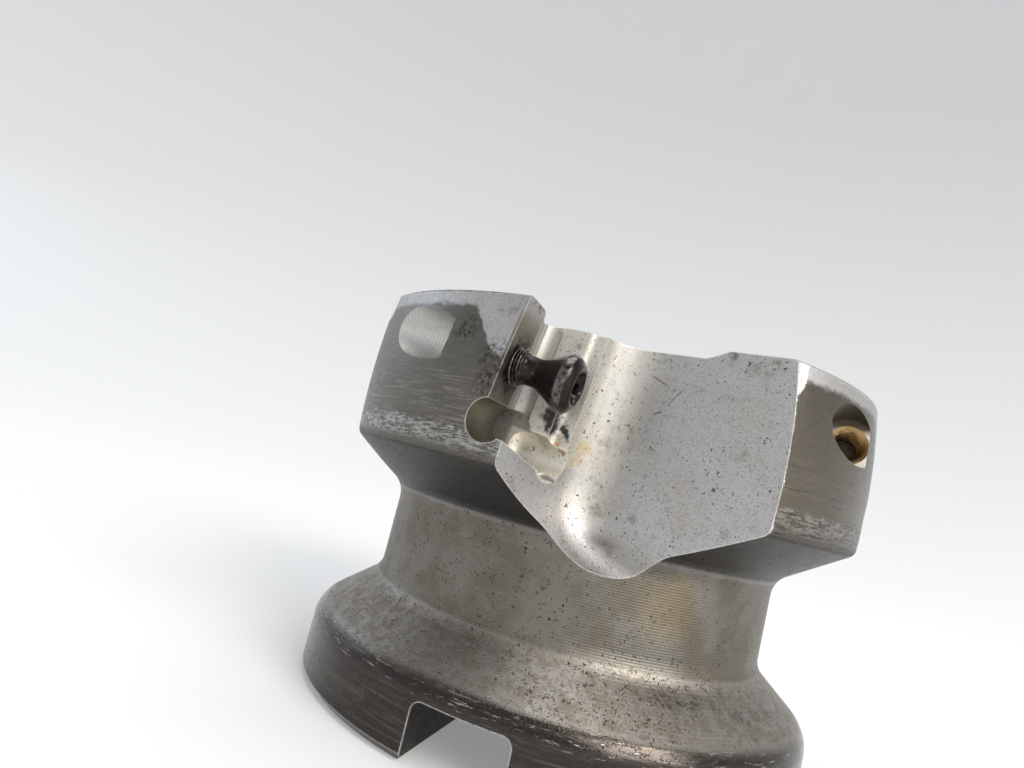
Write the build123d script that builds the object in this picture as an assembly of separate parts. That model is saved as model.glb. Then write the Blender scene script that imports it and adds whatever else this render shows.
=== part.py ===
from build123d import *
from math import cos, radians, sin, tan
import os

# Indexable face mill body. All sizes are in millimetres and all angles in degrees.
# The origin is the centre of the arbor bore in the back face, and +Z points to the cutting end.
# Angles round the axis are counted from -Y towards +X. Tooth 1 faces -Y.

# Turned body
body_height = 42.86
hub_radius = 29.5
hub_side_height = 6.86
hub_chamfer = 0.8
hub_shoulder_radius = 3.0
hub_cone_angle = 38.0
neck_radius = 23.3
neck_cove_radius = 3.0
head_radius = 30.8
head_drop = 20.88
head_crown = 0.4
head_taper = 0.36
head_corner_radius = 1.2
rim_radius = head_radius - head_taper
rim_rounding = 0.35
underside_start_height = body_height - head_drop
underside_angle = 33.6
underside_fillet_radius = 3.0

# Flat land and dished centre of the cutting end
land_width = 4.94
dish_depth = 0.95
dish_wall_width = 1.5
dish_wall_hollow = 0.04
dish_blend_radius = 0.6
dish_edge_radius = rim_radius - land_width
dish_floor_radius = dish_edge_radius - dish_wall_width

# Stepped hole for the arbor and its lock screw
arbor_bore_radius = 12.7
arbor_bore_depth = 24.0
arbor_bore_chamfer = 0.8
lock_screw_hole_radius = 6.75
lock_screw_web = 7.0
counterbore_radius = 12.3
counterbore_chamfer = 0.6

# Drive key slots across the back face
key_slot_width = 9.65
key_slot_depth = 5.56
key_slot_corner_radius = 1.0
key_slot_edge_break = 0.4
key_slot_angle = -12.2
key_slot_count = 2

# Chip gullets. The flat wall has its own frame: x along the wall, y up, z out of the wall.
tooth_count = 4
gullet_angle = -25.0
heel_angle = 31.1
gullet_corner_x = 6.05
gullet_corner_drop = 21.36
gullet_corner_height = body_height - gullet_corner_drop
gullet_side_lean = 7.1
gullet_bottom_slope = 15.0
gullet_corner_radius = 7.0
gullet_floor_fillet = 4.0
gullet_side_draft = 8.6

# Insert seats. The seat has its own frame: x inwards, y up along the seat, z out of the seat.
seat_angle = -18.9
seat_edge_inset = 0.09
seat_drop = 5.48
seat_radius = head_radius - seat_edge_inset
seat_height = body_height - seat_drop
seat_direction = 10.96
axial_rake = 8.55
side_wall_inset = 7.25
side_wall_height = 4.4
strip_inset = 8.2
step_fillet = 0.9
root_groove_radius = 1.25
root_groove_inset = 6.4
root_groove_height = 1.05
pocket_height = 9.5
pocket_floor_drop = 7.9
pocket_floor_slope = 14.0

# Reliefs of the pocket: one drilled along the foot of the seat with a flat-ended cutter, and one
# milled square to the seat at the inner corner with a round-cornered cutter
relief_radius = 2.05
relief_corner_rounding = 1.4
foot_relief_drop = 6.65
foot_relief_height = 0.55
foot_relief_inset = 8.0
corner_relief_inset = 6.7
corner_relief_drop = 7.9
corner_relief_floor = 0.5

# Insert screw with its tapped hole, and the relief behind the hole
screw_inset = 3.54
screw_drop = 0.76
screw_root_radius = 1.6
screw_clearance = 0.05
tapped_length = 7.0
hole_chamfer = 0.35
screw_relief_radius = 2.7
screw_tip = -3.1
screw_thread_top = 0.8
screw_waist_radius = 1.45
screw_waist_start = 1.5
screw_waist_end = 2.3
screw_rim_start = 4.95
screw_rim_end = 5.55
screw_head_radius = 2.85
screw_dome_radius = 2.6
screw_dome_height = 6.0
screw_head_top = 6.4
screw_face_radius = 1.95
socket_radius = 1.7
socket_flute_radius = 0.55
socket_lobes = 6
socket_depth = 1.8

# How far a cutter runs out past the metal
overrun = 5.0


def turn_direction(angle):
    """Unit vector that points outwards at an angle round the axis."""
    return Vector(sin(radians(angle)), -cos(radians(angle)), 0)


def turned_body():
    """The bar as it leaves the lathe: hub, cone, neck, underside, head and dished end."""
    neck_foot = hub_side_height + (hub_radius - neck_radius) * tan(radians(hub_cone_angle))
    head_foot = underside_start_height + (head_radius - neck_radius) * tan(radians(underside_angle))
    rim_foot = body_height - rim_rounding
    dish_floor = body_height - dish_depth
    crown = ((head_radius + rim_radius) / 2 + head_crown, (head_foot + rim_foot) / 2)
    shoulder = (hub_radius, hub_side_height)
    cove = (neck_radius, neck_foot)
    underside = (neck_radius, underside_start_height)
    head_corner = (head_radius, head_foot)
    dish_edge = (dish_edge_radius, body_height)
    dish_corner = (dish_floor_radius, dish_floor)
    dish_wall = (
        (dish_edge_radius + dish_floor_radius) / 2 + dish_wall_hollow,
        (body_height + dish_floor) / 2 - dish_wall_hollow,
    )
    with BuildPart() as body:
        with BuildSketch(Plane.XZ) as half:
            with BuildLine():
                Polyline(
                    (0, 0),
                    (hub_radius - hub_chamfer, 0),
                    (hub_radius, hub_chamfer),
                    shoulder,
                    cove,
                    underside,
                    head_corner,
                )
                ThreePointArc(head_corner, crown, (rim_radius, rim_foot))
                JernArc((rim_radius, rim_foot), (0, 1), rim_rounding, 90)
                Line((rim_radius - rim_rounding, body_height), dish_edge)
                ThreePointArc(dish_edge, dish_wall, dish_corner)
                Polyline(dish_corner, (0, dish_floor), (0, 0))
            make_face()
            for corner, radius in (
                (shoulder, hub_shoulder_radius),
                (cove, neck_cove_radius),
                (underside, underside_fillet_radius),
                (head_corner, head_corner_radius),
                (dish_edge, dish_blend_radius),
                (dish_corner, dish_blend_radius),
            ):
                fillet(half.vertices().sort_by_distance(corner)[0], radius)
        revolve(axis=Axis.Z)
    return body.part


def arbor_hole():
    """Arbor bore, lock screw hole and the counterbore for the screw's head, as one stepped cutter."""
    web_top = arbor_bore_depth + lock_screw_web
    dish_floor = body_height - dish_depth
    with BuildPart() as cutter:
        with BuildSketch(Plane.XZ):
            with BuildLine():
                Polyline(
                    (0, -overrun),
                    (arbor_bore_radius + arbor_bore_chamfer + overrun, -overrun),
                    (arbor_bore_radius, arbor_bore_chamfer),
                    (arbor_bore_radius, arbor_bore_depth),
                    (lock_screw_hole_radius, arbor_bore_depth),
                    (lock_screw_hole_radius, web_top),
                    (counterbore_radius, web_top),
                    (counterbore_radius, dish_floor - counterbore_chamfer),
                    (counterbore_radius + counterbore_chamfer + overrun, dish_floor + overrun),
                    (0, dish_floor + overrun),
                    close=True,
                )
            make_face()
        revolve(axis=Axis.Z)
    return cutter.part


def key_slot():
    """Cutter for one drive key slot, from the arbor bore out past the hub."""
    half_width = key_slot_width / 2
    flare = half_width + key_slot_edge_break
    with BuildPart() as cutter:
        with BuildSketch(Plane.XZ) as profile:
            with BuildLine():
                Polyline(
                    (-flare - overrun, -overrun),
                    (-half_width, key_slot_edge_break),
                    (-half_width, key_slot_depth),
                    (half_width, key_slot_depth),
                    (half_width, key_slot_edge_break),
                    (flare + overrun, -overrun),
                    close=True,
                )
            make_face()
            fillet(profile.vertices().group_by(Axis.Y)[-1], key_slot_corner_radius)
        extrude(amount=hub_radius + overrun)
    return cutter.part.rotate(Axis.Z, key_slot_angle)


def gullet():
    """Cutter for the chip gullet of tooth 1: flat wall, rounded root, open upwards and outwards."""
    outward = turn_direction(gullet_angle)
    along = turn_direction(gullet_angle + 90)
    offset = head_radius * cos(radians(heel_angle - gullet_angle))
    wall = Plane(origin=outward * offset, x_dir=along, z_dir=outward)
    top = body_height + overrun
    end = head_radius + overrun
    side_top = gullet_corner_x + (top - gullet_corner_height) * tan(radians(gullet_side_lean))
    bottom = gullet_corner_height - (end - gullet_corner_x) * tan(radians(gullet_bottom_slope))
    corner = (gullet_corner_x, gullet_corner_height)
    with BuildPart() as cutter:
        with BuildSketch(wall) as outline:
            with BuildLine():
                Polyline((side_top, top), corner, (end, bottom), (end, top), close=True)
            make_face()
            fillet(outline.vertices().sort_by_distance(corner)[0], gullet_corner_radius)
        extrude(amount=head_radius, taper=-gullet_side_draft)
        floor = cutter.faces().sort_by_distance(wall.origin + along * gullet_corner_x)[0]
        root = floor.edges().sort_by(lambda edge: wall.to_local_coords(edge @ 0.5).X)[:-1]
        root = root.sort_by(lambda edge: wall.to_local_coords(edge @ 0.5).Y)[:-1]
        fillet(root, gullet_floor_fillet)
    return cutter.part


def seat_plane():
    """Frame of the insert seat of tooth 1, at the middle of its outer edge."""
    inward = turn_direction(180 - seat_direction)
    level = turn_direction(90 - seat_direction)
    normal = level * cos(radians(axial_rake)) - Vector(0, 0, 1) * sin(radians(axial_rake))
    place = turn_direction(seat_angle) * seat_radius + Vector(0, 0, seat_height)
    return Plane(origin=place, x_dir=inward, z_dir=normal)


def insert_pocket(seat):
    """Cutter for the insert pocket: its stepped side wall runs along the seat down to its floor."""
    reach = head_radius
    across = Plane(origin=seat.origin, x_dir=seat.x_dir, z_dir=-seat.y_dir)
    below_seat = root_groove_radius - root_groove_height
    floor_fall = tan(radians(pocket_floor_slope))
    with BuildPart() as steps:
        with BuildSketch(across) as section:
            with BuildLine():
                Polyline(
                    (-overrun, 0),
                    (side_wall_inset, 0),
                    (side_wall_inset, side_wall_height),
                    (strip_inset, side_wall_height),
                    (strip_inset, pocket_height),
                    (-overrun, pocket_height),
                    close=True,
                )
            make_face()
            fillet(section.vertices().sort_by_distance((strip_inset, side_wall_height))[0], step_fillet)
            with Locations((root_groove_inset, root_groove_height)):
                Circle(root_groove_radius)
        extrude(amount=reach, both=True)
    with BuildPart() as outline:
        with BuildSketch(seat.offset(-below_seat)):
            with BuildLine():
                Polyline(
                    (-overrun, reach),
                    (-overrun, -pocket_floor_drop + overrun * floor_fall),
                    (strip_inset + overrun, -pocket_floor_drop - (strip_inset + overrun) * floor_fall),
                    (strip_inset + overrun, reach),
                    close=True,
                )
            make_face()
        extrude(amount=pocket_height + below_seat)
    return steps.part & outline.part


def relief_cutter(length):
    """Straight cutter that stands on its own end."""
    return Cylinder(relief_radius, length, align=(Align.CENTER, Align.CENTER, Align.MIN))


def pocket_reliefs(seat):
    """Cutters for the relief along the foot of the seat and the one at the inner corner."""
    foot = seat.from_local_coords(Vector(foot_relief_inset, -foot_relief_drop, foot_relief_height))
    corner = seat.from_local_coords(Vector(corner_relief_inset, -corner_relief_drop, corner_relief_floor))
    along_seat = Plane(origin=foot, z_dir=-seat.x_dir) * relief_cutter(foot_relief_inset + overrun)
    round_cornered = relief_cutter(pocket_height)
    round_cornered = fillet(round_cornered.edges().group_by(Axis.Z)[0], relief_corner_rounding)
    square_to_seat = Plane(origin=corner, z_dir=seat.z_dir) * round_cornered
    return [along_seat, square_to_seat]


def screw_frame(seat):
    """Frame of the insert screw: its origin on the seat, z out of the seat."""
    return Plane(
        origin=seat.from_local_coords(Vector(screw_inset, -screw_drop, 0)),
        x_dir=seat.x_dir,
        z_dir=seat.z_dir,
    )


def screw_hole(seat):
    """Tapped hole from the seat, and the wider relief that breaks out of the back of the tooth."""
    radius = screw_root_radius + screw_clearance
    mouth_radius = radius + hole_chamfer
    with BuildPart() as cutter:
        with BuildSketch(Plane.XZ):
            with BuildLine():
                Polyline(
                    (0, overrun),
                    (mouth_radius, overrun),
                    (mouth_radius, 0),
                    (radius, -hole_chamfer),
                    (radius, hole_chamfer - tapped_length),
                    (mouth_radius, -tapped_length),
                    (screw_relief_radius, -tapped_length),
                    (screw_relief_radius, -head_radius),
                    (0, -head_radius),
                    close=True,
                )
            make_face()
        revolve(axis=Axis.Z)
    return screw_frame(seat) * cutter.part


def insert_screw(seat):
    """Insert screw, backed out of its hole: domed conical head with a six-lobe socket, and shank."""
    with BuildPart() as screw:
        with BuildSketch(Plane.XZ):
            with BuildLine():
                Polyline(
                    (0, screw_head_top),
                    (0, screw_tip),
                    (screw_root_radius, screw_tip),
                    (screw_root_radius, screw_thread_top),
                    (screw_waist_radius, screw_waist_start),
                    (screw_waist_radius, screw_waist_end),
                    (screw_head_radius, screw_rim_start),
                    (screw_head_radius, screw_rim_end),
                    (screw_dome_radius, screw_dome_height),
                    (screw_face_radius, screw_head_top),
                    close=True,
                )
            make_face()
        revolve(axis=Axis.Z)
        with BuildSketch(Plane.XY.offset(screw_head_top)):
            Circle(socket_radius)
            with PolarLocations(socket_radius, socket_lobes):
                Circle(socket_flute_radius, mode=Mode.SUBTRACT)
        extrude(amount=-socket_depth, mode=Mode.SUBTRACT)
    return screw_frame(seat) * screw.part


def around(shape, count):
    """The shape and its copies, evenly spaced round the axis."""
    return [shape.rotate(Axis.Z, step * 360 / count) for step in range(count)]


def mill_body():
    """The whole body: turned, bored, slotted, then milled and drilled tooth by tooth."""
    seat = seat_plane()
    body = turned_body() - arbor_hole()
    for cutter in around(key_slot(), key_slot_count):
        body -= cutter
    for tooth_cutter in (gullet(), insert_pocket(seat), *pocket_reliefs(seat), screw_hole(seat)):
        for cutter in around(tooth_cutter, tooth_count):
            body -= cutter
    return body


def save(shape, name):
    """Write one piece to its own file."""
    export_step(shape, os.path.join("parts", name + ".step"))


os.makedirs("parts", exist_ok=True)
save(mill_body(), "mill_body")
for number, screw in enumerate(around(insert_screw(seat_plane()), tooth_count), start=1):
    save(screw, f"insert_screw_{number}")
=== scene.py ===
import bpy
import bmesh
from math import cos, pi, radians, sin, tau
from types import SimpleNamespace
from mathutils import Matrix, Vector


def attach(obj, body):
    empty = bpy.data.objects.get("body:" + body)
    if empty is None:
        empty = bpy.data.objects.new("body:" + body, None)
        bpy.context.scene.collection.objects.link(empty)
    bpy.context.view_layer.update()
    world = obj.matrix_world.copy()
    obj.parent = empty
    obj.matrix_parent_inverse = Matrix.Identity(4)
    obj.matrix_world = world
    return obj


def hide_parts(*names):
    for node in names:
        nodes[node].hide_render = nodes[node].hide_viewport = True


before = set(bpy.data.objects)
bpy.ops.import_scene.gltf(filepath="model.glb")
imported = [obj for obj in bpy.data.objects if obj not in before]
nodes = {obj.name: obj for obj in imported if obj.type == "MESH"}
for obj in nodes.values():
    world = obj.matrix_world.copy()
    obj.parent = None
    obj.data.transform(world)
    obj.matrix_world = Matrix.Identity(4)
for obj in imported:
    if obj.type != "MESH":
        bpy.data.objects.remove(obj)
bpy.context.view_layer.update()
mm = 0.001

camera = {
    "lens": 23.74,                                # mm
    "sensorWidth": 36,                            # mm
    "place": (0.0, -88.61 * mm, 27.49 * mm),
    "right": (0.96310, 0.11565, 0.24303),
    "up": (-0.22556, -0.14585, 0.96325),
    "forward": (-0.14684, 0.98252, 0.11438),
    "nearest": 0.001,                             # m, what is nearer or farther isn't drawn
    "farthest": 20,
}


def placeCamera(look):
    data = bpy.data.cameras.new("camera")
    data.sensor_width = look["sensorWidth"]
    data.lens = look["lens"]
    data.clip_start = look["nearest"]
    data.clip_end = look["farthest"]
    cam = bpy.data.objects.new("camera", data)
    bpy.context.scene.collection.objects.link(cam)
    axes = Matrix((look["right"], look["up"], -Vector(look["forward"]))).transposed()
    cam.matrix_world = Matrix.Translation(look["place"]) @ axes.to_4x4()
    bpy.context.scene.camera = cam
    print("camera placed")


placeCamera(camera)


# small helpers for building node trees

def put(tree, kind, inputs=None, **settings):
    made = tree.nodes.new("ShaderNode" + kind)
    for name, value in settings.items():
        setattr(made, name, value)
    for name, value in (inputs or {}).items():
        if isinstance(value, bpy.types.NodeSocket):
            tree.links.new(value, made.inputs[name])
        else:
            made.inputs[name].default_value = value
    return made


def join(tree, value, shader, name):
    tree.links.new(value, shader.inputs[name])


def maths(tree, operation, first, second=0.0):
    return put(tree, "Math", {0: first, 1: second}, operation=operation).outputs[0]


def times(tree, *values):
    product = values[0]
    for value in values[1:]:
        product = maths(tree, "MULTIPLY", product, value)
    return product


def plus(tree, *values):
    total = values[0]
    for value in values[1:]:
        total = maths(tree, "ADD", total, value)
    return total


def most(tree, *values):
    highest = values[0]
    for value in values[1:]:
        highest = maths(tree, "MAXIMUM", highest, value)
    return highest


def rest(tree, share):                            # what is left of 1
    return maths(tree, "SUBTRACT", 1.0, share)


def sway(tree, noise, reach):                     # noise moved to lie round 0
    return times(tree, maths(tree, "SUBTRACT", noise, 0.5), reach)


def vector(tree, operation, first, second=(0.0, 0.0, 0.0)):
    return put(tree, "VectorMath", {0: first, 1: second}, operation=operation).outputs["Vector"]


def measure(tree, operation, first, second=(0.0, 0.0, 0.0)):
    return put(tree, "VectorMath", {0: first, 1: second}, operation=operation).outputs["Value"]


def scaled(tree, place, factor):
    return put(tree, "VectorMath", {0: place, 3: factor}, operation="SCALE").outputs["Vector"]


def fade(tree, value, start, end):                # 0 at start, 1 at end, smooth between
    ranged = put(tree, "MapRange", {"Value": value, "From Min": start, "From Max": end},
                 interpolation_type="SMOOTHSTEP")
    return ranged.outputs[0]


def band(tree, value, low, high, soft):           # 1 between low and high
    return times(tree, fade(tree, value, low - soft, low + soft), fade(tree, value, high + soft, high - soft))


def wave(tree, value, length):
    return maths(tree, "SINE", times(tree, value, tau / length))


def mixPaint(tree, share, under, over):
    mixed = put(tree, "Mix", data_type="RGBA")
    for slot, value in ((0, share), (6, under), (7, over)):
        if isinstance(value, bpy.types.NodeSocket):
            tree.links.new(value, mixed.inputs[slot])
        elif slot:
            mixed.inputs[slot].default_value = (*value, 1)
        else:
            mixed.inputs[slot].default_value = value
    return mixed.outputs[2]


def mixValue(tree, share, under, over):
    return put(tree, "Mix", {0: share, 2: under, 3: over}, data_type="FLOAT").outputs[0]


def coats(tree, colour, *layers):                 # each layer is a share and a colour, laid over the last
    for share, over in layers:
        colour = mixPaint(tree, share, colour, over)
    return colour


def cloud(tree, place, scale, detail, rough):
    noise = put(tree, "TexNoise", {"Vector": place, "Scale": scale, "Detail": detail, "Roughness": rough})
    return noise.outputs["Fac"]


def stretch(tree, place, along):
    return vector(tree, "MULTIPLY", place, along)


def pits(tree, place, scale, smallest, largest, share):
    # small dark dots, share of the cells have one
    cells = put(tree, "TexVoronoi", {"Vector": place, "Scale": scale, "Randomness": 1.0})
    chance, size, _ = put(tree, "SeparateColor", {"Color": cells.outputs["Color"]}).outputs
    reach = plus(tree, times(tree, size, size, largest - smallest), smallest)
    dot = fade(tree, maths(tree, "DIVIDE", cells.outputs["Distance"], reach), 1.0, 0.6)
    return times(tree, dot, maths(tree, "LESS_THAN", chance, share))


def shifted(tree, place, scale, reach):           # the place pushed about by up to about half of reach
    wander = put(tree, "TexNoise", {"Vector": place, "Scale": scale, "Detail": 2.0}).outputs["Color"]
    push = vector(tree, "SUBTRACT", wander, (0.5, 0.5, 0.5))
    return vector(tree, "ADD", place, scaled(tree, push, reach))


def spotMark(tree, place, middle, reach):         # 1 in a small patch, fading out towards its rim
    return fade(tree, measure(tree, "DISTANCE", place, middle), reach * 1.15, reach * 0.35)


def lineMark(tree, place, start, end, width):     # 1 along a thin line between two places
    start, end = Vector(start), Vector(end)
    run = (end - start).normalized()
    offset = vector(tree, "SUBTRACT", place, start)
    along = measure(tree, "DOT_PRODUCT", offset, run)
    across = measure(tree, "LENGTH", vector(tree, "CROSS_PRODUCT", offset, run))
    return times(tree, fade(tree, across, width, width * 0.3), band(tree, along, 0.0, (end - start).length, 0.3))


def bentEdge(tree, facing, radius):               # 1 on flat metal, less where an edge turns away
    softened = put(tree, "Bevel", {"Radius": radius * mm}, samples=2).outputs[0]
    return measure(tree, "DOT_PRODUCT", softened, facing)


def newPaint(name):
    paint = bpy.data.materials.new(name)
    paint.use_nodes = True
    return paint, paint.node_tree, paint.node_tree.nodes["Principled BSDF"]


def inMillimetres(tree):                          # the place on the piece, which all sizes in the paints go by
    return scaled(tree, put(tree, "TexCoord").outputs["Object"], 1 / mm)


def addBump(tree, shader, distance, height):
    bump = put(tree, "Bump", {"Strength": 0.5, "Distance": distance * mm, "Height": height})
    join(tree, bump.outputs[0], shader, "Normal")


# small helpers for building meshes

def addRing(mesh, sides, radiusAt, height):
    ring = []
    for k in range(sides):
        turn = k / sides
        reach = radiusAt(turn)
        ring.append(mesh.verts.new((reach * cos(tau * turn), reach * sin(tau * turn), height)))
    return ring


def skin(mesh, rings):                            # faces between rings that follow each other upwards
    for low, high in zip(rings, rings[1:]):
        for k in range(len(low)):
            after = (k + 1) % len(low)
            mesh.faces.new((low[k], low[after], high[after], high[k]))


def pieceFrom(mesh, name):
    data = bpy.data.meshes.new(name)
    mesh.to_mesh(data)
    mesh.free()
    data.polygons.foreach_set("use_smooth", [True] * len(data.polygons))
    piece = bpy.data.objects.new(name, data)
    bpy.context.scene.collection.objects.link(piece)
    return piece


studio = {
    "floorColour": (0.58, 0.59, 0.60, 1),
    "floorRoughness": 0.85,
    "floorGlow": 0.24,                            # the sweep is lit from behind a little, which evens it out
    "floorReach": 0.30,                           # m of flat floor before it curves up
    "sweepRadius": 1.4,
    "sweepSteps": 24,
    "wallTop": 1.4,                               # in sweep radii
    "sides": 96,
    "worldColour": (0.80, 0.85, 0.92, 1),
    "worldStrength": 0.34,
    "lampsAimAt": (0.0, 0.0, 0.025),
    # name, place, size, watts, colour
    "lamps": (
        ("keySoftbox", (0.66, -0.62, 0.62), (0.62, 0.62), 11.0, (1.0, 0.95, 0.87)),
        ("leftSheet", (-0.95, 0.25, 0.45), (0.60, 0.50), 1.0, (0.70, 0.83, 1.0)),
        ("topSheet", (0.10, 0.05, 1.20), (0.90, 0.90), 7.0, (1.0, 0.99, 0.97)),
    ),
}


def layFloor(look):                               # a flat disc that curves up into a bowl, with no horizon
    reach, sweep, steps = look["floorReach"], look["sweepRadius"], look["sweepSteps"]
    outline = [(reach / 2, 0), (reach, 0)]
    for step in range(1, steps + 1):
        angle = radians(90 * step / steps)
        outline.append((reach + sweep * sin(angle), sweep * (1 - cos(angle))))
    outline.append((reach + sweep, sweep * look["wallTop"]))
    mesh = bmesh.new()
    rings = [addRing(mesh, look["sides"], lambda turn: radius, height) for radius, height in outline]
    middle = mesh.verts.new((0, 0, 0))
    for k in range(look["sides"]):
        mesh.faces.new((middle, rings[0][k], rings[0][(k + 1) % look["sides"]]))
    skin(mesh, rings[::-1])
    floor = pieceFrom(mesh, "studioFloor")
    paint, tree, shader = newPaint("studioFloor")
    shader.inputs["Base Color"].default_value = look["floorColour"]
    shader.inputs["Roughness"].default_value = look["floorRoughness"]
    shader.inputs["Emission Color"].default_value = (1, 1, 1, 1)
    shader.inputs["Emission Strength"].default_value = look["floorGlow"]
    floor.data.materials.append(paint)


def hangLamps(look):
    world = bpy.data.worlds.new("studio")
    world.use_nodes = True
    sky = world.node_tree.nodes["Background"]
    sky.inputs["Color"].default_value = look["worldColour"]
    sky.inputs["Strength"].default_value = look["worldStrength"]
    bpy.context.scene.world = world
    for name, place, size, watts, colour in look["lamps"]:
        lamp = bpy.data.lights.new(name, "AREA")
        lamp.shape = "RECTANGLE"
        lamp.size, lamp.size_y = size
        lamp.energy = watts
        lamp.color = colour
        holder = bpy.data.objects.new(name, lamp)
        bpy.context.scene.collection.objects.link(holder)
        holder.location = place
        aim = Vector(look["lampsAimAt"]) - Vector(place)
        holder.rotation_euler = aim.to_track_quat("-Z", "Y").to_euler()


layFloor(studio)
hangLamps(studio)
bpy.context.scene.view_settings.view_transform = "Standard"
print("studio lit")

# where the insert of the first tooth sits, in mm: middle of its outer edge, inward, up along it, out of it
seat = {
    "place": Vector((-9.9475, -29.0543, 37.38)),
    "inward": Vector((0.190124, 0.981760, 0.0)),
    "up": Vector((0.145961, -0.028266, 0.988886)),
    "out": Vector((0.970849, -0.188011, -0.148672)),
    "screwInset": 3.54,
    "screwDrop": 0.76,
    "toothStart": -58.9,                          # degrees, heel of the first tooth
    "teeth": 4,
}

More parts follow.
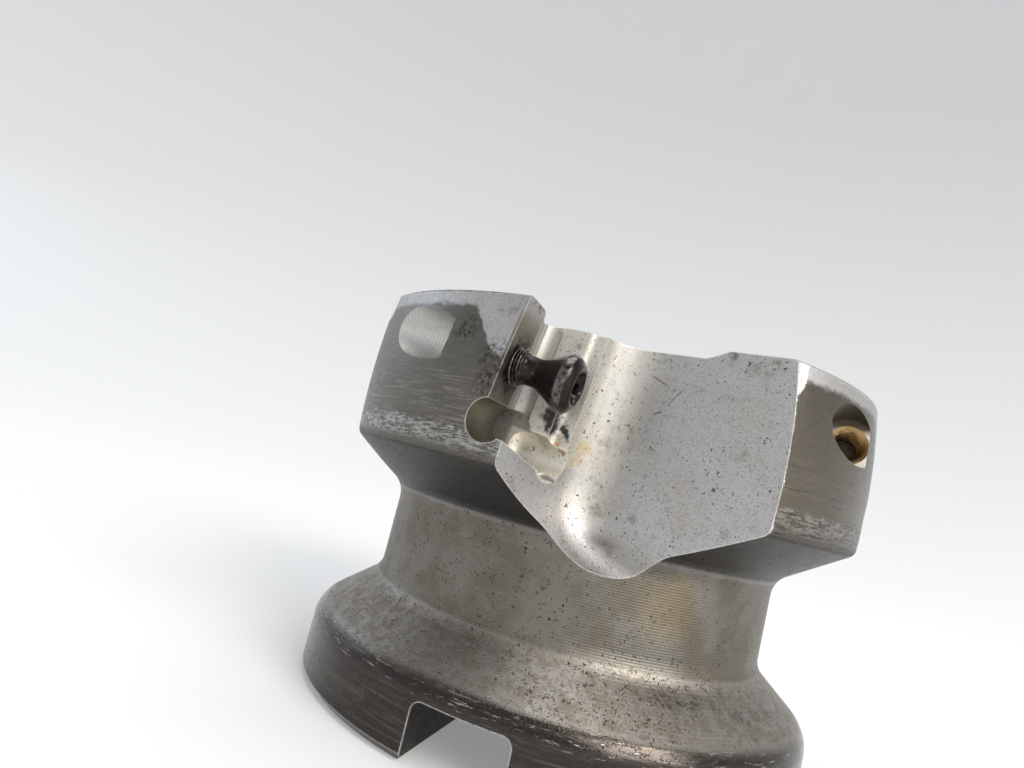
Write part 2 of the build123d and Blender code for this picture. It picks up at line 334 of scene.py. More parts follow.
mill = {
    "cleanSteel": (0.465, 0.465, 0.48),
    "warmSteel": (0.42, 0.40, 0.365),
    "paleSteel": (0.70, 0.69, 0.67),
    "brownSteel": (0.21, 0.185, 0.150),
    "brownFilm": (0.13, 0.10, 0.07),
    "neckSteel": (0.165, 0.154, 0.135),
    "neckFilm": (0.120, 0.106, 0.082),
    "rubbedHead": (0.105, 0.097, 0.085),
    "tannedHead": (0.105, 0.086, 0.060),
    "scored": (0.30, 0.285, 0.255),
    "tornEdge": (0.40, 0.39, 0.37),
    "darkUnderside": (0.050, 0.047, 0.044),
    "darkHub": (0.032, 0.027, 0.025),
    "hubStreak": (0.12, 0.103, 0.083),
    "olive": (0.13, 0.118, 0.080),
    "oiledWall": (0.040, 0.033, 0.020),
    "brightEdge": (0.92, 0.90, 0.86),
    "pit": (0.030, 0.024, 0.019),
    "rust": (0.42, 0.19, 0.04),
    "yellow": (0.50, 0.36, 0.13),
    "cream": (0.80, 0.76, 0.66),
    "bronze": (0.55, 0.38, 0.16),
    "grime": (0.012, 0.010, 0.008),

    "metallic": 1.0,
    "roughness": 0.48,
    "rubbedRoughness": 0.30,
    "gulletRoughness": 0.60,
    "hubRoughness": 0.20,
    "pitRoughness": 0.8,
    "oilRoughness": 0.22,
    "bumpHeight": 0.03,
    "unrollRadius": 30.0,                         # mm, turns angles into lengths for what is drawn out round the axis
    "latheFeed": 0.26,                            # mm from one turning mark to the next
    "drillFeed": 0.36,
    "creviceReach": 1.1,
    "edgeRadius": 0.17,

    # clouds: scale, detail, roughness
    "blotchCloud": (0.20, 5, 0.6),
    "mottleCloud": (0.9, 5, 0.7),
    "grainCloud": (7.0, 3, 0.65),
    "stainCloud": (0.42, 4, 0.7),
    "crowdCloud": (0.28, 3, 0.6),
    "oilCloud": (0.9, 3, 0.7),
    "speckCloud": (2.2, 5, 0.7),
    # how far places are pushed about: scale, reach
    "pitShift": (3.6, 0.85),
    "spotShift": (1.4, 2.2),
    "smudgeShift": (0.9, 1.6),
    # clouds drawn out round the axis: stretch round, up and outward, then scale, detail, roughness
    "scratchCloud": ((0.35, 5.5, 0.5), 1.0, 5, 0.75),
    "tornCloud": ((0.55, 2.4, 1.0), 1.7, 5, 0.8),
    "streakCloud": ((0.12, 2.2, 0.3), 1.2, 4, 0.75),
    "dingCloud": ((0.35, 2.6, 1.0), 1.4, 4, 0.75),
    # pits: scale, smallest, largest, share of the cells
    "finePits": (2.5, 0.16, 0.38, 0.85),
    "coarsePits": (0.95, 0.04, 0.13, 0.40),
    "conePits": (2.8, 0.22, 0.50, 0.90),

    # zones of the turned body in mm: where one starts and ends its fade, or low, high and softness
    "headRadius": (30.05, 30.2),
    "headBottom": (27.0, 27.8),
    "tornRadius": (29.2, 29.8),
    "tornBottom": (26.4, 27.0),
    "tornTop": (29.8, 29.3),
    "scorchedTop": (34.5, 32.0),
    "neckRadius": (25.4, 24.4),
    "neckHeights": (10.6, 22.6, 0.8),
    "undersideHeights": (21.8, 27.2, 0.5),
    "coneHeights": (7.4, 12.2, 0.8),
    "hubRadius": (27.9, 28.9),
    "hubTop": (8.4, 7.2),
    "slotRadii": (13.6, 29.3, 0.2),
    "slotTop": (6.2, 5.4),
    "topEdge": (41.4, 42.7),
    # wear in mm, or in degrees round the axis
    "dingHeights": (5.4, 6.6),
    "burnishTop": (41.0, 41.6),
    "burnishDrop": 4.6,                           # how much lower it ends before the leading corner
    "burnishDropDegrees": (-29.0, -20.5),
    "scoredTop": (37.0, 32.0),
    "tornPaintBottom": (27.2, 28.3),
    "heelRadius": (30.0, 30.2),
    "heelEnd": 0.1,                               # degrees past the start of the tooth
    "heelWider": 1.7,                             # degrees more at the top
    "heelWiderHeights": (39.4, 41.0),
    # zones of a tooth in mm, measured from its seat
    "seatWidth": (-1.0, 5.4, 0.2),
    "seatHeight": (-5.0, 7.0, 0.3),
    "seatDepth": (-0.3, 0.12, 0.08),
    "seatFilm": (5.6, 2.0),
    "pocketWidth": (5.6, 10.4, 0.4),
    "pocketHeight": (-8.0, 6.5, 0.5),
    "pocketDepth": (0.1, 7.5, 0.3),
    "gulletWidth": (5.6, 15.0, 0.8),
    "gulletDepth": (7.2, 11.8, 1.4),
    "gulletBottom": (22.6, 24.6),
    "footAxis": (-6.65, 0.55),
    "footRadius": (2.2, 2.1),
    "footLength": (-0.2, 8.05, 0.15),
    "footPaler": (1.0, 5.0),
    "cornerAxis": (6.7, -7.9),
    "cornerRadius": (2.3, 2.1),
    "cornerDepth": (0.3, 9.0, 0.3),
    "windowRadius": (2.80, 2.72),
    "windowDepth": (-6.7, -6.95),
    "windowFloor": (-7.25, -7.1),
    "windowFloorShade": (0.2, 1.2),
    "windowRimRadius": (3.4, 3.1),
    "windowRimDepth": (-6.2, -6.6),
    "ringRadius": (2.05, 1.95),
    "holeRadius": (1.85, 1.75),
    "holeDepth": (-3.0, -3.4),
    "oilRadius": (3.5, 2.1),
    "oilDepth": (-0.3, 1.4, 0.3),

    # marks that only the front tooth has, in mm: middle, reach
    "oilSpots": (((9.5, -21.3, 17.3), 3.6), ((10.6, -20.8, 19.2), 2.6), ((0.2, -20.3, 30.5), 2.0)),
    "yellowSpots": (((-3.18, -21.6, 27.6), 0.6), ((-1.75, -20.56, 30.8), 1.1), ((-2.0, -20.6, 29.4), 0.9)),
    "rustSpots": (((-4.14, -21.83, 30.8), 0.55), ((-3.6, -21.7, 29.9), 0.45)),
    "dirtSpots": (((-5.4, -22.6, 32.9), 1.4), ((-4.9, -22.3, 31.9), 1.1), ((-3.6, -21.8, 31.9), 0.8)),
    "brownSpots": (((-11.2, -28.9, 36.8), 1.9), ((-11.1, -28.9, 34.4), 1.7), ((-14.6, -27.2, 38.9), 1.6)),
    # start, end, width
    "scratchLines": (((1.6, -20.2, 39.4), (3.2, -20.5, 37.9), 0.16), ((3.5, -20.6, 39.4), (5.0, -21.3, 38.7), 0.12),
                     ((6.5, -22.0, 38.5), (5.4, -21.5, 36.7), 0.09), ((4.9, -21.2, 36.0), (4.3, -21.0, 35.6), 0.14)),
    "crackLine": (((-7.2, -22.1, 17.5), (-6.4, -22.4, 13.6), 0.10),),
    "creaseLine": (((0.5, -20.0, 34.8), (2.1, -20.0, 28.1), 0.10),),
    "smudgeLines": (((9.2, -23.6, 10.2), (13.8, -21.4, 9.9), 0.9), ((17.6, -19.2, 9.3), (19.6, -17.6, 9.0), 0.7),
                    ((12.4, -21.9, 10.6), (14.6, -20.6, 10.3), 0.5)),
}


def seatCoordinates(tree, place):                 # all teeth folded onto the first one, and the place from its seat
    x, y, z = put(tree, "SeparateXYZ", {0: place}).outputs
    radius = measure(tree, "LENGTH", stretch(tree, place, (1, 1, 0)))
    angle = maths(tree, "ARCTAN2", x, times(tree, y, -1.0))
    start = radians(seat["toothStart"])
    pastHeel = maths(tree, "FLOORED_MODULO", maths(tree, "SUBTRACT", angle, start), tau / seat["teeth"])
    folded = plus(tree, pastHeel, start)
    foldedX = times(tree, radius, maths(tree, "SINE", folded))
    foldedY = times(tree, radius, maths(tree, "COSINE", folded), -1.0)
    onFirst = put(tree, "CombineXYZ", {0: foldedX, 1: foldedY, 2: z}).outputs[0]
    fromSeat = vector(tree, "SUBTRACT", onFirst, seat["place"])
    inward, up, out = (measure(tree, "DOT_PRODUCT", fromSeat, seat[way]) for way in ("inward", "up", "out"))
    away = farFrom(tree, inward, up, (seat["screwInset"], -seat["screwDrop"]))
    return SimpleNamespace(place=place, z=z, radius=radius, angle=angle, folded=folded,
                           inward=inward, up=up, out=out, away=away)


def farFrom(tree, first, second, axis):           # distance from an axis that is square to both
    offset = {0: maths(tree, "SUBTRACT", first, axis[0]), 1: maths(tree, "SUBTRACT", second, axis[1]), 2: 0.0}
    return measure(tree, "LENGTH", put(tree, "CombineXYZ", offset).outputs[0])


def bodyCoordinates(tree, look):                  # where a point of the body is, how it faces, and its clouds
    at = seatCoordinates(tree, inMillimetres(tree))
    at.degrees = times(tree, at.folded, 180 / pi)
    along = times(tree, at.angle, look["unrollRadius"])
    at.unrolled = put(tree, "CombineXYZ", {0: along, 1: at.z, 2: at.radius}).outputs[0]
    at.facing = put(tree, "NewGeometry").outputs["Normal"]
    at.rising = put(tree, "SeparateXYZ", {0: at.facing}).outputs[2]
    outward = vector(tree, "NORMALIZE", stretch(tree, at.place, (1, 1, 0)))
    at.radial = measure(tree, "DOT_PRODUCT", at.facing, outward)
    at.blotch = cloud(tree, at.place, *look["blotchCloud"])
    at.mottle = cloud(tree, at.place, *look["mottleCloud"])
    at.grain = cloud(tree, at.place, *look["grainCloud"])
    return at


def roundCloud(tree, at, along, *cloudLook):
    return cloud(tree, stretch(tree, at.unrolled, along), *cloudLook)


def bodyZones(tree, look, at):                    # 1 inside each part of the body, 0 elsewhere
    onOutside = fade(tree, at.radial, 0.80, 0.92)
    notTop = fade(tree, at.rising, 0.9, 0.6)
    zone = SimpleNamespace(onOutside=onOutside, notTop=notTop)
    zone.rightTeeth = fade(tree, at.angle, -0.3, 0.3)       # painted warm light and painted shade on the teeth to the right

    # turned body
    zone.headSide = times(tree, fade(tree, at.radius, *look["headRadius"]), fade(tree, at.z, *look["headBottom"]),
                          onOutside)
    tornTop = plus(tree, at.z, sway(tree, at.mottle, 2.4))
    zone.lowerEdge = times(tree, fade(tree, at.radius, *look["tornRadius"]), fade(tree, at.z, *look["tornBottom"]),
                           fade(tree, tornTop, *look["tornTop"]), fade(tree, at.radial, 0.62, 0.75))
    zone.neck = times(tree, fade(tree, at.radius, *look["neckRadius"]), band(tree, at.z, *look["neckHeights"]),
                      fade(tree, at.radial, 0.80, 0.93))
    zone.underside = times(tree, band(tree, at.z, *look["undersideHeights"]), fade(tree, at.rising, -0.35, -0.65))
    zone.hubCone = times(tree, band(tree, at.z, *look["coneHeights"]), fade(tree, at.rising, 0.35, 0.6))
    zone.hubSide = times(tree, fade(tree, at.radius, *look["hubRadius"]), fade(tree, at.z, *look["hubTop"]),
                         fade(tree, at.radial, 0.45, 0.7))
    zone.slotWalls = times(tree, band(tree, at.radius, *look["slotRadii"]), fade(tree, at.z, *look["slotTop"]),
                           fade(tree, at.radial, 0.6, 0.3))

    # tooth
    zone.onSeat = times(tree, band(tree, at.inward, *look["seatWidth"]), band(tree, at.up, *look["seatHeight"]),
                        band(tree, at.out, *look["seatDepth"]))
    zone.pocket = times(tree, band(tree, at.inward, *look["pocketWidth"]), band(tree, at.up, *look["pocketHeight"]),
                        band(tree, at.out, *look["pocketDepth"]), notTop)
    zone.gulletRoot = times(tree, band(tree, at.inward, *look["gulletWidth"]), band(tree, at.out, *look["gulletDepth"]),
                            fade(tree, at.z, *look["gulletBottom"]), notTop)
    zone.foot = times(tree, fade(tree, farFrom(tree, at.up, at.out, look["footAxis"]), *look["footRadius"]),
                      band(tree, at.inward, *look["footLength"]))
    zone.corner = times(tree, fade(tree, farFrom(tree, at.inward, at.up, look["cornerAxis"]), *look["cornerRadius"]),
                        band(tree, at.out, *look["cornerDepth"]))
    zone.window = times(tree, fade(tree, at.away, *look["windowRadius"]), fade(tree, at.out, *look["windowDepth"]),
                        rest(tree, zone.headSide))
    zone.windowFloor = times(tree, zone.window, fade(tree, at.out, *look["windowFloor"]))
    zone.windowRim = times(tree, fade(tree, at.away, *look["windowRimRadius"]),
                           fade(tree, at.out, *look["windowRimDepth"]))
    zone.hole = times(tree, fade(tree, at.away, *look["holeRadius"]), fade(tree, at.out, *look["holeDepth"]))
    return zone


def bodyWear(tree, look, at, zone):               # what use has done to the body, with painted shade and a painted glint among it, 1 where it did it fully
    wear = SimpleNamespace()
    wear.scratches = roundCloud(tree, at, *look["scratchCloud"])
    wear.torn = fade(tree, roundCloud(tree, at, *look["tornCloud"]), 0.43, 0.57)
    wear.streaks = fade(tree, roundCloud(tree, at, *look["streakCloud"]), 0.50, 0.72)
    dings = fade(tree, roundCloud(tree, at, *look["dingCloud"]), 0.57, 0.66)
    wear.dinged = times(tree, dings, zone.hubSide, fade(tree, at.z, *look["dingHeights"]))

    # the side of the head is burnished, but for a zone at the top and one before the leading corner
    atCorner = fade(tree, at.degrees, *look["burnishDropDegrees"])
    burnishEnd = plus(tree, times(tree, atCorner, look["burnishDrop"]), at.z, sway(tree, at.mottle, 1.6))
    lighter = fade(tree, burnishEnd, *look["burnishTop"])
    wear.rubbed = times(tree, zone.headSide, rest(tree, lighter))
    lowHead = plus(tree, times(tree, fade(tree, at.z, *look["scoredTop"]), 0.70), 0.30)
    wear.scored = times(tree, fade(tree, wear.scratches, 0.47, 0.68), lowHead,
                        plus(tree, times(tree, at.blotch, 0.7), 0.25))
    # painted shade: the lower head of the teeth to the right is streaked dark in the pit colour
    wear.scorched = times(tree, zone.rightTeeth, most(tree, zone.headSide, zone.lowerEdge),
                          fade(tree, at.z, *look["scorchedTop"]), fade(tree, wear.streaks, 0.15, 0.5))
    wear.dulled = times(tree, zone.hubCone, plus(tree, times(tree, fade(tree, at.mottle, 0.38, 0.62), 0.35), 0.60))

    # the heel of each tooth is painted bright, most of all at its top: worn metal, plus a painted glint
    wider = times(tree, fade(tree, at.z, *look["heelWiderHeights"]), look["heelWider"])
    heelEnd = plus(tree, wider, seat["toothStart"] + look["heelEnd"], sway(tree, at.grain, 1.6))
    pastHeel = maths(tree, "SUBTRACT", plus(tree, at.degrees, sway(tree, at.mottle, 2.0)), heelEnd)
    wear.heel = times(tree, fade(tree, pastHeel, 0.25, -0.25), fade(tree, at.radius, *look["heelRadius"]),
                      zone.onOutside)

    # pits crowd together in places, and on the cone most
    ragged = shifted(tree, at.place, *look["pitShift"])
    crowded = fade(tree, cloud(tree, at.place, *look["crowdCloud"]), 0.36, 0.60)
    fine = times(tree, pits(tree, ragged, *look["finePits"]), plus(tree, times(tree, crowded, 0.70), 0.30))
    coarse = pits(tree, ragged, *look["coarsePits"])
    onCone = times(tree, pits(tree, ragged, *look["conePits"]), zone.hubCone,
                   plus(tree, times(tree, crowded, 0.6), 0.4))
    wear.pitted = times(tree, most(tree, fine, coarse, onCone), rest(tree, times(tree, zone.headSide, 0.7)))

    wear.stained = fade(tree, cloud(tree, at.place, *look["stainCloud"]), 0.56, 0.74)
    wear.edgeDirt = times(tree, fade(tree, at.z, *look["topEdge"]), rest(tree, zone.onOutside), zone.notTop,
                          fade(tree, at.mottle, 0.52, 0.62))
    wear.chatter = times(tree, wave(tree, at.out, look["drillFeed"]), zone.window)
    uneven = plus(tree, at.away, sway(tree, cloud(tree, at.place, *look["oilCloud"]), 3.4))
    wear.oiled = times(tree, fade(tree, uneven, *look["oilRadius"]), band(tree, at.out, *look["oilDepth"]))

    # painted shade darkens the crevices by their ambient occlusion, and bright metal goes to the edges
    openness = put(tree, "AmbientOcclusion", {"Distance": look["creviceReach"] * mm}, samples=1).outputs["AO"]
    wear.sheltered = fade(tree, openness, 0.75, 0.35)
    edge = times(tree, fade(tree, bentEdge(tree, at.facing, look["edgeRadius"]), 0.992, 0.93),
                 fade(tree, openness, 0.50, 0.75))
    wear.edge = times(tree, edge, fade(tree, at.mottle, 0.22, 0.46), rest(tree, times(tree, zone.windowRim, 0.85)))
    return wear


def plainColour(tree, look, at, zone):
    warmth = times(tree, fade(tree, at.blotch, 0.35, 0.65), 0.5)
    neckPaint = mixPaint(tree, fade(tree, at.blotch, 0.40, 0.62), look["neckSteel"], look["neckFilm"])
    return coats(tree, mixPaint(tree, warmth, look["cleanSteel"], look["warmSteel"]),
                 (times(tree, fade(tree, at.mottle, 0.50, 0.75), 0.14), look["brownFilm"]),
                 (times(tree, zone.neck, 0.92), neckPaint),
                 (times(tree, fade(tree, at.grain, 0.44, 0.70), 0.42), look["brownFilm"]))


def turnedColour(tree, look, at, zone, wear, colour):       # head, hub, cone and underside
    # on the teeth to the right the head gets a painted warm tint of the key light, and its torn lower edge painted
    # shade
    rubbedPaint = coats(tree, look["rubbedHead"],
                        (times(tree, fade(tree, at.mottle, 0.55, 0.75), 0.5), look["brownFilm"]),
                        (wear.scored, look["scored"]),
                        (times(tree, zone.rightTeeth, 0.6), look["tannedHead"]))
    tornPaint = coats(tree, look["rubbedHead"],
                      (times(tree, wear.torn, fade(tree, at.z, *look["tornPaintBottom"])), look["tornEdge"]),
                      (times(tree, zone.rightTeeth, 0.4), look["pit"]))
    darkPaint = mixPaint(tree, times(tree, wear.streaks, 0.6), look["darkHub"], look["hubStreak"])
    return coats(tree, colour,
                 (times(tree, wear.rubbed, 0.95), rubbedPaint),
                 (times(tree, zone.lowerEdge, 0.9), tornPaint),
                 (times(tree, wear.scorched, 0.75), look["pit"]),
                 # the hub side is dark with streaks; the drive slot's walls get the same paint as painted shade
                 (times(tree, most(tree, zone.hubSide, zone.slotWalls), 0.96), darkPaint),
                 (times(tree, wear.dinged, 0.7), look["warmSteel"]),
                 (wear.dulled, look["brownSteel"]),
                 # painted shade: faces turned down are painted near black
                 (times(tree, zone.underside, 0.90), look["darkUnderside"]))


def pocketColour(tree, look, at, zone, wear, colour):       # pocket, gullet, reliefs, heel, stains and pits
    creamy = most(tree, times(tree, zone.pocket, 0.45), times(tree, zone.gulletRoot, 0.28))
    footShare = mixValue(tree, fade(tree, at.inward, *look["footPaler"]), 0.92, 0.65)
    return coats(tree, colour,
                 (creamy, look["cream"]),
                 (times(tree, zone.foot, footShare), look["olive"]),
                 (times(tree, zone.corner, 0.75), look["cream"]),
                 (times(tree, wear.heel, 0.95), look["brightEdge"]),
                 (times(tree, wear.stained, 0.45), look["brownFilm"]),
                 (times(tree, wear.pitted, 0.88), look["pit"]),
                 (times(tree, zone.onSeat, fade(tree, at.up, *look["seatFilm"]), 0.75), look["brownFilm"]))


def windowColour(tree, look, at, zone, wear, colour):       # the relief behind the screw, open to the outside
    # painted shade: the wall's overhanging top is painted dark, fully on the teeth to the right and a little on the
    # front one, and on those teeth the upper part of the floor is painted brown shade
    turnedDown = fade(tree, maths(tree, "SUBTRACT", at.rising, times(tree, zone.rightTeeth, 0.45)), 0.1, -0.3)
    overhung = times(tree, turnedDown, mixValue(tree, zone.rightTeeth, 0.30, 1.0))
    wallPaint = mixPaint(tree, overhung, look["paleSteel"], look["oiledWall"])
    ring = times(tree, zone.windowFloor, fade(tree, at.away, *look["ringRadius"]))
    shade = times(tree, zone.windowFloor, zone.rightTeeth, fade(tree, at.up, *look["windowFloorShade"]))
    return coats(tree, colour,
                 (times(tree, zone.window, 0.85), wallPaint),
                 (times(tree, fade(tree, wear.chatter, 0.0, 0.9), 0.3), look["brownSteel"]),
                 (times(tree, wear.edgeDirt, 0.8), look["brownFilm"]),
                 (times(tree, zone.windowFloor, 0.85), look["cream"]),
                 (times(tree, shade, 0.9), look["brownFilm"]),
                 (most(tree, ring, zone.hole), look["bronze"]))


def frontMarks(tree, look, place, colour):        # dirt, rust, stains and scratches round the front pocket
    loose = shifted(tree, place, *look["spotShift"])
    wavy = shifted(tree, place, *look["smudgeShift"])
    speckled = fade(tree, cloud(tree, place, *look["speckCloud"]), 0.42, 0.60)
    for spots, paint, share in (("oilSpots", "yellow", 0.10),
                                ("yellowSpots", "yellow", 0.5),
                                ("rustSpots", "rust", 0.7),
                                ("dirtSpots", "grime", 0.92),
                                ("brownSpots", "grime", times(tree, speckled, 0.75))):
        cover = most(tree, *(spotMark(tree, loose, *spot) for spot in look[spots]))
        colour = mixPaint(tree, times(tree, cover, share), colour, look[paint])
    for lines, paint, share, drawnOn in (("scratchLines", "brownFilm", 0.7, place),
                                         ("crackLine", "pit", 0.75, wavy),
                                         ("creaseLine", "brightEdge", 0.6, place),
                                         ("smudgeLines", "grime", times(tree, speckled, 0.6), wavy)):
        cover = most(tree, *(lineMark(tree, drawnOn, *line) for line in look[lines]))
        colour = mixPaint(tree, times(tree, cover, share), colour, look[paint])
    return colour


def bodyRoughness(tree, look, at, zone, wear):
    rough = mixValue(tree, wear.rubbed, look["roughness"], look["rubbedRoughness"])
    rough = mixValue(tree, zone.gulletRoot, rough, look["gulletRoughness"])
    rough = mixValue(tree, zone.hubSide, rough, look["hubRoughness"])
    rough = plus(tree, rough, sway(tree, at.mottle, 0.22), sway(tree, at.grain, 0.15))
    rough = mixValue(tree, times(tree, wear.pitted, 0.8), rough, look["pitRoughness"])
    return mixValue(tree, wear.oiled, rough, look["oilRoughness"])


def bodyRelief(tree, look, at, zone, wear):       # height for the bump, in steps of bumpHeight
    faintly = times(tree, plus(tree, zone.underside, zone.hubCone), 0.3)
    turned = times(tree, wave(tree, at.z, look["latheFeed"]), plus(tree, zone.neck, faintly))
    return plus(tree,
                times(tree, at.grain, 0.5),
                times(tree, at.mottle, 0.9),
                times(tree, turned, 0.45),
                times(tree, wear.chatter, 0.9),
                times(tree, wear.pitted, -2.2),
                times(tree, wear.scratches, wear.rubbed, 1.2),
                times(tree, wear.torn, zone.lowerEdge, 3.0),
                times(tree, wear.dinged, 2.0))


def millSteel(look):
    paint, tree, shader = newPaint("millSteel")
    at = bodyCoordinates(tree, look)
    zone = bodyZones(tree, look, at)
    wear = bodyWear(tree, look, at, zone)
    colour = plainColour(tree, look, at, zone)
    colour = turnedColour(tree, look, at, zone, wear, colour)
    colour = pocketColour(tree, look, at, zone, wear, colour)
    colour = windowColour(tree, look, at, zone, wear, colour)
    # painted shade in the crevices, by ambient occlusion
    colour = coats(tree, colour, (times(tree, wear.sheltered, 0.5), look["brownFilm"]))
    colour = frontMarks(tree, look, at.place, colour)
    colour = coats(tree, colour,
                   (times(tree, wear.edge, 0.95), look["brightEdge"]),
                   (times(tree, wear.oiled, 0.95), look["grime"]))
    join(tree, colour, shader, "Base Color")
    join(tree, bodyRoughness(tree, look, at, zone, wear), shader, "Roughness")
    shader.inputs["Metallic"].default_value = look["metallic"]
    addBump(tree, shader, look["bumpHeight"], bodyRelief(tree, look, at, zone, wear))
    return paint


nodes["mill_body"].data.materials.clear()
nodes["mill_body"].data.materials.append(millSteel(mill))
print("mill body painted")

screw = {
    "pitch": 0.7,
    "rootRadius": 1.6,
    "crest": 0.36,
    "ridge": (1.45, 2.1),                         # width and slope of the thread's ridge, for threadRidge
    "threadBottom": -2.9,
    "threadTop": 1.1,
    "runOutStart": (-2.95, 0.5),                  # where the thread starts from nothing, and over what length
    "runOutEnd": (1.05, 0.45),
    "stepsPerTurn": 12,
    "sides": 96,
    "lobes": 6,
    # height above the seat, radius: the tip, then from the thread up to the face
    "tip": ((-3.1, 0.02), (-3.1, 1.3), (-2.95, 1.5)),
    "outline": ((1.15, 1.52), (1.55, 1.46), (2.1, 1.45), (2.5, 1.52), (2.85, 1.66), (3.4, 1.92), (4.0, 2.22),
                (4.5, 2.52), (4.82, 2.72), (4.93, 2.83), (5.05, 2.87), (5.45, 2.87), (5.57, 2.82), (5.72, 2.80),
                (5.95, 2.62), (6.15, 2.40), (6.3, 2.18), (6.38, 2.02), (6.4, 1.95)),
    # height, radius, depth of the lobes
    "socket": ((6.4, 1.82, 0.0), (6.36, 1.76, 0.03), (6.22, 1.62, 0.12), (6.1, 1.5, 0.2), (5.0, 1.48, 0.2),
               (4.75, 1.44, 0.2), (4.62, 1.2, 0.1), (4.45, 0.6, 0.0), (4.35, 0.02, 0.0)),

    "blackOxide": (0.017, 0.015, 0.014),
    "rubbedBrown": (0.085, 0.062, 0.040),
    "wornOxide": (0.15, 0.14, 0.135),
    "bareSteel": (0.55, 0.53, 0.50),
    "metallic": 0.75,
    "bumpHeight": 0.04,
    "edgeRadius": 0.09,
    "mottleCloud": (1.6, 5, 0.7),
    "fineCloud": (7.0, 3, 0.6),
    # worn zones in mm above the seat and from the axis
    "rimHeights": (4.75, 5.75, 0.12),
    "rimRadius": (2.6, 2.75),
    "waistHeights": (1.2, 2.4, 0.3),
    "crestTop": (1.1, 0.9),
    "crestRadius": (1.84, 1.93),
    "tipHeight": (-2.9, -3.0),
    "socketHeights": (4.3, 5.4, 0.2),
    "socketRadius": (1.5, 1.3),
}


def toothTurn(number):                            # from a seat's own frame in mm to the tooth's place in metres
    axes = Matrix((seat["inward"], seat["up"], seat["out"])).transposed().to_4x4()
    middle = seat["place"] + seat["inward"] * seat["screwInset"] - seat["up"] * seat["screwDrop"]
    turn = Matrix.Rotation(tau / seat["teeth"] * (number - 1), 4, "Z")
    return Matrix.Scale(mm, 4) @ turn @ Matrix.Translation(middle) @ axes


def screwPaint(look):
    paint, tree, shader = newPaint("screwOxide")
    at = seatCoordinates(tree, inMillimetres(tree))
    mottle = cloud(tree, at.place, *look["mottleCloud"])
    fine = cloud(tree, at.place, *look["fineCloud"])
    # the rim of the head is worn oxide with a painted reflection on it; the crest and the waist are worn oxide
    rim = times(tree, band(tree, at.out, *look["rimHeights"]), fade(tree, at.away, *look["rimRadius"]),
                fade(tree, mottle, 0.36, 0.56))
    waist = times(tree, band(tree, at.out, *look["waistHeights"]), fade(tree, mottle, 0.56, 0.68))
    crest = times(tree, fade(tree, at.out, *look["crestTop"]), fade(tree, at.away, *look["crestRadius"]),
                  fade(tree, mottle, 0.40, 0.60))
    # the tip is painted light steel: bare metal plus painted light, so that it shows in the dark hole
    tip = fade(tree, at.out, *look["tipHeight"])
    debris = times(tree, fade(tree, at.away, *look["socketRadius"]), band(tree, at.out, *look["socketHeights"]),
                   fade(tree, fine, 0.52, 0.62))
    facing = put(tree, "NewGeometry").outputs["Normal"]
    edge = times(tree, fade(tree, bentEdge(tree, facing, look["edgeRadius"]), 0.985, 0.90),
                 fade(tree, mottle, 0.42, 0.58))
    colour = coats(tree, look["blackOxide"],
                   (times(tree, fade(tree, mottle, 0.54, 0.72), 0.6), look["rubbedBrown"]),
                   (times(tree, most(tree, rim, crest, waist), 0.8), look["wornOxide"]),
                   (times(tree, most(tree, edge, debris, tip), 0.8), look["bareSteel"]))
    join(tree, colour, shader, "Base Color")
    join(tree, plus(tree, times(tree, fine, 0.20), 0.08), shader, "Roughness")
    shader.inputs["Metallic"].default_value = look["metallic"]
    addBump(tree, shader, look["bumpHeight"], plus(tree, times(tree, fine, 0.5), mottle))
    return paint


def threadRidge(height, turn, width, slope):      # 0 at the root, 1 on the crest
    phase = (height / screw["pitch"] - turn) % 1.0
    return min(1.0, max(0.0, width - abs(2 * phase - 1) * slope))


def makeScrew(look, number):
    mesh = bmesh.new()
    sides = look["sides"]
    start, startLength = look["runOutStart"]
    end, endLength = look["runOutEnd"]

    def shankReach(turn):                         # the thread runs out at both ends
        ends = min(1.0, (height - start) / startLength, (end - height) / endLength)
        return look["rootRadius"] + look["crest"] * threadRidge(height, turn, *look["ridge"]) * max(0.0, ends)

    rings = [addRing(mesh, sides, lambda turn: radius, height) for height, radius in look["tip"]]
    height = look["threadBottom"]
    while height < look["threadTop"]:
        rings.append(addRing(mesh, sides, shankReach, height))
        height += look["pitch"] / look["stepsPerTurn"]
    for height, radius in look["outline"]:
        rings.append(addRing(mesh, sides, lambda turn: radius, height))
    for height, radius, depth in look["socket"]:
        rings.append(addRing(mesh, sides, lambda turn: radius + depth * cos(tau * turn * look["lobes"]), height))
    skin(mesh, rings)
    mesh.faces.new(rings[0][::-1])
    mesh.faces.new(rings[-1])
    mesh.transform(toothTurn(number))
    return pieceFrom(mesh, f"insertScrew{number}")


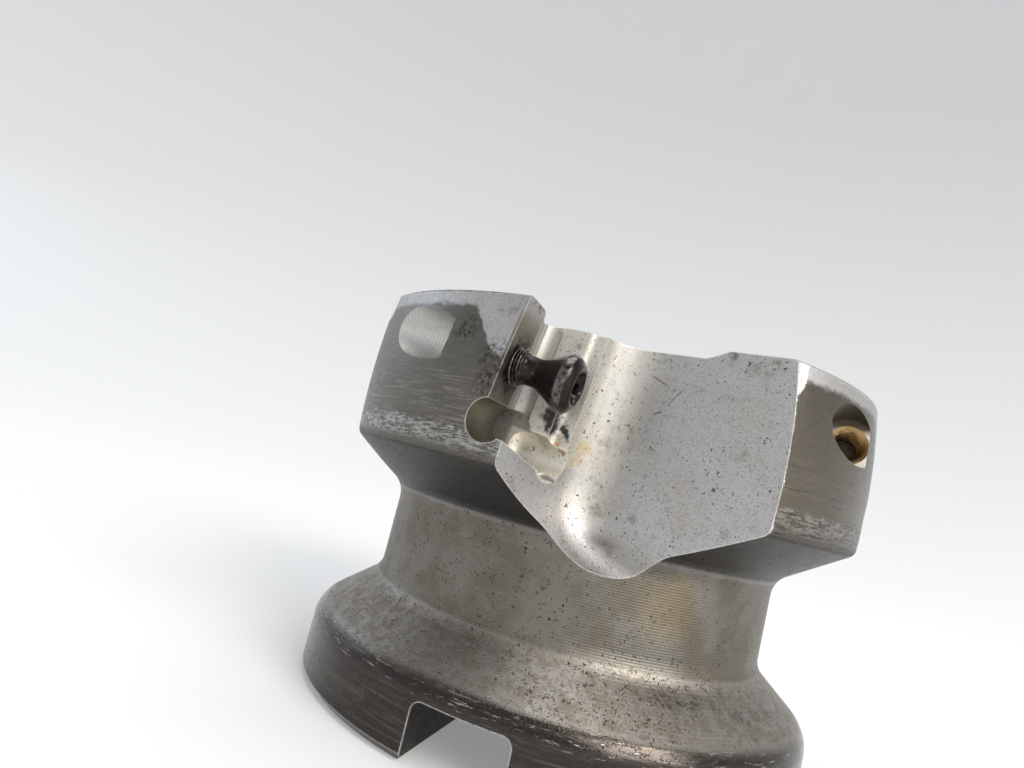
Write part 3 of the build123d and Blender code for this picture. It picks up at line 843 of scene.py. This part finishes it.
screwFinish = screwPaint(screw)
for number in range(1, seat["teeth"] + 1):
    piece = makeScrew(screw, number)
    piece.data.materials.append(screwFinish)
    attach(piece, "root")
    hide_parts(f"insert_screw_{number}")
print("insert screws made")

tapped = {
    "from": -6.62,                                # mm above the seat, so behind it
    "to": -3.25,
    "wall": 1.66,
    "crest": 0.24,
    "ridge": (1.3, 2.0),
    "sleeve": 0.25,                               # hidden in the metal round the hole
    "stepsPerTurn": 10,
    "sides": 72,

    "bronze": (0.42, 0.28, 0.12),
    "dark": (0.06, 0.04, 0.025),
    "metallic": 0.9,
    "bumpHeight": 0.02,
    "mottleCloud": (1.2, 5, 0.7),
    "fineCloud": (6.0, 3, 0.6),
}


def tappedPaint(look):
    paint, tree, shader = newPaint("tappedThread")
    place = inMillimetres(tree)
    mottle = cloud(tree, place, *look["mottleCloud"])
    fine = cloud(tree, place, *look["fineCloud"])
    join(tree, mixPaint(tree, fade(tree, mottle, 0.35, 0.7), look["bronze"], look["dark"]), shader, "Base Color")
    join(tree, plus(tree, times(tree, fine, 0.3), 0.2), shader, "Roughness")
    shader.inputs["Metallic"].default_value = look["metallic"]
    addBump(tree, shader, look["bumpHeight"], fine)
    return paint


def makeTappedThread(look, number):               # a closed sleeve whose inside is the thread
    mesh = bmesh.new()
    sides = look["sides"]
    step = screw["pitch"] / look["stepsPerTurn"]

    def threadReach(turn):
        return look["wall"] - look["crest"] * threadRidge(height, turn, *look["ridge"])

    def sleeveReach(turn):
        return look["wall"] + look["sleeve"]

    height = look["from"]
    rings = [addRing(mesh, sides, sleeveReach, height)]
    while height < look["to"]:
        rings.append(addRing(mesh, sides, threadReach, height))
        height += step
    rings.append(addRing(mesh, sides, sleeveReach, height - step))
    rings.append(rings[0])
    skin(mesh, rings[::-1])
    mesh.transform(toothTurn(number))
    return pieceFrom(mesh, f"tappedThread{number}")


tappedFinish = tappedPaint(tapped)
for number in range(1, seat["teeth"] + 1):
    piece = makeTappedThread(tapped, number)
    piece.data.materials.append(tappedFinish)
    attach(piece, "root")
print("tapped threads made")
